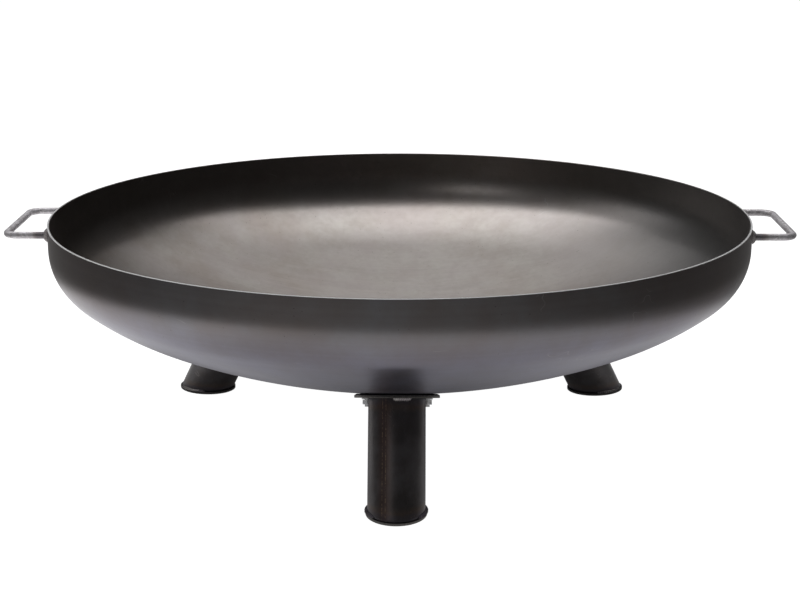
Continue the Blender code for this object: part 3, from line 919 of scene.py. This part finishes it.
# Plate cut by laser: scale on the faces, a striped brighter cut edge, bare metal at its corners
def plateLook(tree, place):
    cloud = useGroup(tree, patches, place, Scale=45.0, Softness=0.13)
    edge = attribute(tree, "edge")
    worn = useGroup(tree, edgeWear, place, Edge=edge, Scale=420.0)[0]
    stripes = noise(tree, stretch(tree, place, 1.0, 1.0, 0.08), 900.0, 1.0)
    color = mixColor(tree, cloud["Mask"], plateColors["dark"], plateColors["pale"])
    cutFace = mixColor(tree, stripes, plateColors["cutDark"], plateColors["cutPale"])
    color = mixColor(tree, worn, color, cutFace)
    roughness = mixValue(tree, cloud["Fine"], 0.34, 0.52)
    height = plus(tree, cloud["Fine"], calc(tree, "MULTIPLY", stripes, edge), 0.8)
    return color, roughness, height


tubeMetal = metal("scaledTube", tubeLook, metallic=0.85, bump=0.00008)
plateMetal = metal("cutPlate", plateLook, bump=0.00010)

# ---- studs, washers and nuts ----
fastener = {
    "stud": 0.0030,
    "pitch": 0.0010,
    "threadDepth": 0.00052,
    "chamfer": 0.0006,
    "proud": 0.0025,
    "bore": 0.0033,
    "washer": 0.0060,
    "washerThickness": 0.0016,
    "washerEdge": 0.0003,
    "flats": 0.0100,
    "nutHeight": 0.0050,
    "faceShare": 0.95,  # the round faces, as a share of the width across flats
    "cornerShare": 0.975,  # corners knocked back to this share of the full hexagon
    "countersink": 0.00045,
}
washerAt = leg["plateThickness"] + mateGap
nutAt = washerAt + fastener["washerThickness"] + mateGap
studEnd = nutAt + fastener["nutHeight"] + fastener["proud"]
studReach = leg["studCircle"] - fastener["stud"]
studStart = math.sqrt(crownRadius**2 - studReach**2) - crownRadius  # up to the crown's underside


# r = R - depth * (1 - tooth(d / pitch - t / 2 pi)), fading in over the first turns, and a cone at the tip
def buildStud(seat, axis, towards):
    d = np.arange(studStart, studEnd, fastener["pitch"] / 9)
    d = np.append(d, studEnd)
    section = np.stack([np.full(len(d), fastener["stud"]), d], 1)

    def thread(r, along, t):
        wave = np.mod(along / fastener["pitch"] - t / tau, 1.0)
        tooth = np.clip(np.abs(2 * wave - 1) * 1.25 - 0.10, 0.0, 1.0)
        fade = smooth(studStart, studStart + 2 * fastener["pitch"], along)
        cone = fastener["stud"] - fastener["chamfer"] + (studEnd - along)
        return np.minimum(r - fastener["threadDepth"] * (1 - tooth) * fade, cone), along

    points = turned(seat, axis, towards, section, 44, thread)
    caps = [np.repeat(points[end].mean(0)[None, None], points.shape[1], axis=1) for end in (0, -1)]
    return gridMesh("stud", np.concatenate([caps[0], points, caps[1]]), sharp=35)


def buildWasher(seat, axis, towards):  # a rectangle with round outer corners, turned
    r, thick, e = fastener["washer"], fastener["washerThickness"], fastener["washerEdge"]
    low = arc(r - e, washerAt + e, e, 0, math.pi / 2, 4)
    high = arc(r - e, washerAt + thick - e, e, math.pi / 2, math.pi, 4)
    inner = [[fastener["bore"], washerAt + thick], [fastener["bore"], washerAt]]
    points = turned(seat, axis, towards, np.concatenate([low, high, inner]), 64)
    return gridMesh("washer", points, wrapRows=True)


# Hexagon: reach = min(half flats / cos(t to the nearest flat), corner circle). Faces drop by 30 degrees.
def buildNut(seat, axis, towards):
    half, height = fastener["flats"] / 2, fastener["nutHeight"]
    bore, sink = fastener["bore"], fastener["countersink"]
    face = fastener["faceShare"] * half
    marks = [[bore, sink], [bore + sink, 0], [face, 0], [-1, 0], [-1, height], [face, height]]
    marks += [[bore + sink, height], [bore, height - sink]]

    def hexagon(r, d, t):
        toFlat = np.mod(t, math.pi / 3) - math.pi / 6
        reach = np.minimum(half / np.cos(toFlat), fastener["cornerShare"] * half / math.cos(math.pi / 6))
        drop = np.maximum(reach - face, 0) * math.tan(math.radians(30))
        onHex = r < 0
        lowered = d + np.where(d < height / 2, drop, -drop)
        return np.where(onHex, reach, r), np.where(onHex, lowered, d)

    points = turned(seat + axis * nutAt, axis, towards, np.array(marks, float), 96, hexagon)
    return gridMesh("nut", points, wrapRows=True, sharp=28)


zincColors = {
    "blue": (0.86, 0.87, 0.89, 1),
    "yellow": (0.95, 0.94, 0.92, 1),
    "mark": (0.30, 0.30, 0.31, 1),
}


# Zinc plate: pale with faint yellow and blue clouds, tool marks, dull grey in the rubbed spots
def zincLook(tree, place):
    cloud = useGroup(tree, patches, place, Scale=140.0, Softness=0.12)
    marks = useGroup(tree, scratches, place, Scale=700.0, Turn=0.8, Gate=0.5, Width=0.05)[0]
    color = mixColor(tree, cloud["Mask"], zincColors["blue"], zincColors["yellow"])
    color = layer(tree, color, marks, 0.5, zincColors["mark"])
    roughness = mixValue(tree, cloud["Fine"], 0.34, 0.52)
    return color, roughness, calc(tree, "SUBTRACT", cloud["Fine"], calc(tree, "MULTIPLY", marks, 0.4))


zincMetal = metal("zincPlated", zincLook, metallic=0.3, bump=0.00005)
for label in ("front", "right", "left"):
    at = legPlace(label)
    seed = {"front": 1.0, "right": 2.0, "left": 3.0}[label]
    addPiece(f"leg_{label}", buildTube(at), tubeMetal, "tube_steel", f"leg_tube_{label}")
    mesh = buildTopPlate(at, fastener["bore"])
    addPiece(f"mount_plate_{label}", mesh, plateMetal, "plate_steel", f"top_plate_{label}")
    addPiece(f"foot_{label}", buildFootPlate(at), plateMetal, "plate_steel", f"foot_plate_{label}")
    topCentre = cutBy(at["foot"], at["down"], at["plateUnder"], at["normal"])
    for place, middle in stitchPlaces["top"].items():
        bead = (at["outwards"], middle, stitchSizes["top"], seed + middle)
        mesh = buildStitch(topCentre, at["down"], at["normal"], *bead)
        addPiece(f"bead_top_{label}_{place}", mesh, weldMetal, "weld_steel", f"top_weld_{label}_{place}")
    for tag, middle in stitchPlaces["foot"].items():
        bead = (at["outwards"], middle, stitchSizes["foot"], seed + middle)
        mesh = buildStitch(at["foot"], -at["down"], up, *bead)
        addPiece(f"bead_foot_{label}_{tag}", mesh, weldMetal, "weld_steel", f"foot_weld_{label}_{tag}")
    for tag, seat, towards in studSeats(at):
        for kind, build in (("stud", buildStud), ("washer", buildWasher), ("nut", buildNut)):
            mesh = build(seat, at["normal"], towards)
            addPiece(f"zinc_{kind}_{label}_{tag}", mesh, zincMetal, "zinc", f"{kind}_{label}_{tag}")
    print("leg made:", label)

# ---- studio ----
studio = {
    "floorHalf": 14.0,
    "ringCentre": (-0.10, -0.03, 0.0),
    "shadeCentre": (0.02, -0.03, 0.0),  # middle of the painted shadow under the bowl
    "ringSqueeze": 1.26,  # narrower from side to side than from front to back
    "ringInner": (0.02, 0.41),  # the painted glow on the paper, seen only in reflections, comes up between these distances
    "ringOuter": (0.70, 0.95),  # and goes down between these
    "ringGlow": (0.07, 0.66),  # darkest and brightest of the painted glow
    "footShade": (0.05, 0.21),  # painted shadow, darker again within these distances of a foot
    "footShare": (0.45, 0.35),  # of its two corners added up, x and y, for the shade's middle
    "base": (0.45, 0.09),  # paper colour in the middle and out at the sides, darker there as painted shade
    "paintedSideShade": (0.50, 1.05),
    "leftGain": (-0.48, -0.22, 1.45, 1.0),  # from and to x, and the gain of the painted glow at each, brighter on the left
    "worldGlow": 0.055,
    "lamps": {
        "overhead": {"at": (0.0, 0.55, 2.6), "size": (1.0, 1.05), "power": 10.4},
        "overheadLeft": {"at": (-1.25, 0.75, 2.6), "size": (1.5, 1.2), "power": 16.0},
        "overheadRight": {"at": (1.2, 0.75, 2.6), "size": (1.4, 1.2), "power": 9.5},
        "back": {"at": (0.0, 2.6, 2.6), "aim": (0.0, 0.15, 0.1), "size": (2.6, 1.0), "power": 9.0},
        "backHigh": {"at": (0.0, 1.6, 2.6), "aim": (0.0, 1.0, 0.0), "size": (2.2, 0.8), "power": 3.2},
        "side": {"at": (-2.6, 0.6, 1.8), "aim": (0.0, 0.0, 0.1), "size": (1.5, 1.5), "power": 6.0},
        "frontLeft": {"at": (-0.65, -0.05, 2.6), "size": (0.9, 0.35), "power": 2.5},
        "low": {"at": (-1.3, -2.2, 1.8), "aim": (0.0, -0.3, 0.1), "size": (0.8, 0.9), "power": 2.8},
    },
}


def distance(tree, place, middle):
    return node(tree, "VectorMath", {0: place, 1: middle}, operation="DISTANCE")["Value"]


def buildFloor():
    half = studio["floorHalf"]
    corners = [(-half, -half), (half, -half), (half, half), (-half, half)]
    mesh = bpy.data.meshes.new("studioFloor")
    mesh.from_pydata([(x, y, -mateGap) for x, y in corners], [], [(0, 1, 2, 3)])
    paper = bpy.data.materials.new("paleFloor")
    paper.use_nodes = True
    tree = paper.node_tree
    shader = tree.nodes["Principled BSDF"]
    shader.inputs["Roughness"].default_value = 0.9
    shader.inputs["Specular IOR Level"].default_value = 0.1
    place = node(tree, "TexCoord")["Object"]
    drawn = stretch(tree, place, studio["ringSqueeze"], 1.0, 1.0)
    # Painted light: a pool of glow on the floor, with a painted shadow in its middle under the bowl
    rise = ease(tree, distance(tree, drawn, studio["shadeCentre"]), *studio["ringInner"])
    fall = ease(tree, distance(tree, drawn, studio["ringCentre"]), *studio["ringOuter"], 1.0, 0.0)
    paintedPool = calc(tree, "MULTIPLY", rise, fall)
    # Painted shadow round the two rear feet
    for label in ("right", "left"):
        low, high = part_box(f"foot_plate_{label}")
        shareX, shareY = studio["footShare"]
        foot = ((low.x + high.x) * shareX, (low.y + high.y) * shareY, 0.0)
        paintedPool = calc(tree, "MULTIPLY", paintedPool, ease(tree, distance(tree, place, foot), *studio["footShade"]))
    x = node(tree, "SeparateXYZ", {0: place})[0]
    # Painted light: the glow made brighter on the left
    gain = ease(tree, x, *studio["leftGain"])
    ring = calc(tree, "MULTIPLY", mixValue(tree, paintedPool, *studio["ringGlow"]), gain)
    # Painted shade: the paper's colour darker out at the sides
    base = ease(tree, calc(tree, "ABSOLUTE", x), *studio["paintedSideShade"], *studio["base"])
    tree.links.new(greyOf(tree, base), shader.inputs["Base Color"])
    # Camera rays see the floor evenly white; all other rays see the painted glow and its painted shadows
    seen = node(tree, "LightPath")["Is Camera Ray"]
    glow = mixValue(tree, seen, ring, 1.0)
    tree.links.new(greyOf(tree, glow), shader.inputs["Emission Color"])
    shader.inputs["Emission Strength"].default_value = 1.0
    mesh.materials.append(paper)
    floor = bpy.data.objects.new("studioFloor", mesh)
    scene.collection.objects.link(floor)


def aim(thing, place, target):  # looks from place to target, along its own -z
    thing.location = place
    direction = unit(np.array(target) - np.array(place))
    thing.rotation_euler = Vector(direction).to_track_quat("-Z", "Y").to_euler()


def addSoftbox(name, spec):
    light = bpy.data.lights.new(name, "AREA")
    light.shape = "RECTANGLE"
    light.size, light.size_y = spec["size"]
    light.energy = spec["power"]
    lamp = bpy.data.objects.new(name, light)
    scene.collection.objects.link(lamp)
    below = (*spec["at"][:2], 0.0)
    aim(lamp, spec["at"], spec.get("aim", below))
    lamp.visible_camera = False


def buildWorld():
    world = bpy.data.worlds.new("studioWorld")
    world.use_nodes = True
    scene.world = world
    tree = world.node_tree
    seen = node(tree, "LightPath")["Is Camera Ray"]
    level = mixValue(tree, seen, studio["worldGlow"], 0.95)
    ground = tree.nodes["Background"]
    tree.links.new(greyOf(tree, level), ground.inputs["Color"])


buildFloor()
buildWorld()
for name, spec in studio["lamps"].items():
    addSoftbox(name, spec)
scene.view_settings.view_transform = "Standard"
print("studio made")

# ---- camera ----
view = {
    "distance": 1.9045,  # from the bowl's axis, level
    "height": 0.6515,
    "round": math.radians(0.7),
    "aside": 0.0003,
    "down": math.radians(14.70),
    "lens": 75.6,
    "sensor": 36.0,
}
cameraData = bpy.data.cameras.new("camera")
cameraData.lens = view["lens"]
cameraData.sensor_width = view["sensor"]
camera = bpy.data.objects.new("camera", cameraData)
ahead = np.array([-math.sin(view["round"]), math.cos(view["round"]), 0.0])
camera.location = np.cross(ahead, up) * view["aside"] - ahead * view["distance"] + up * view["height"]
camera.rotation_euler = (math.pi / 2 - view["down"], 0.0, view["round"])
scene.collection.objects.link(camera)
scene.camera = camera
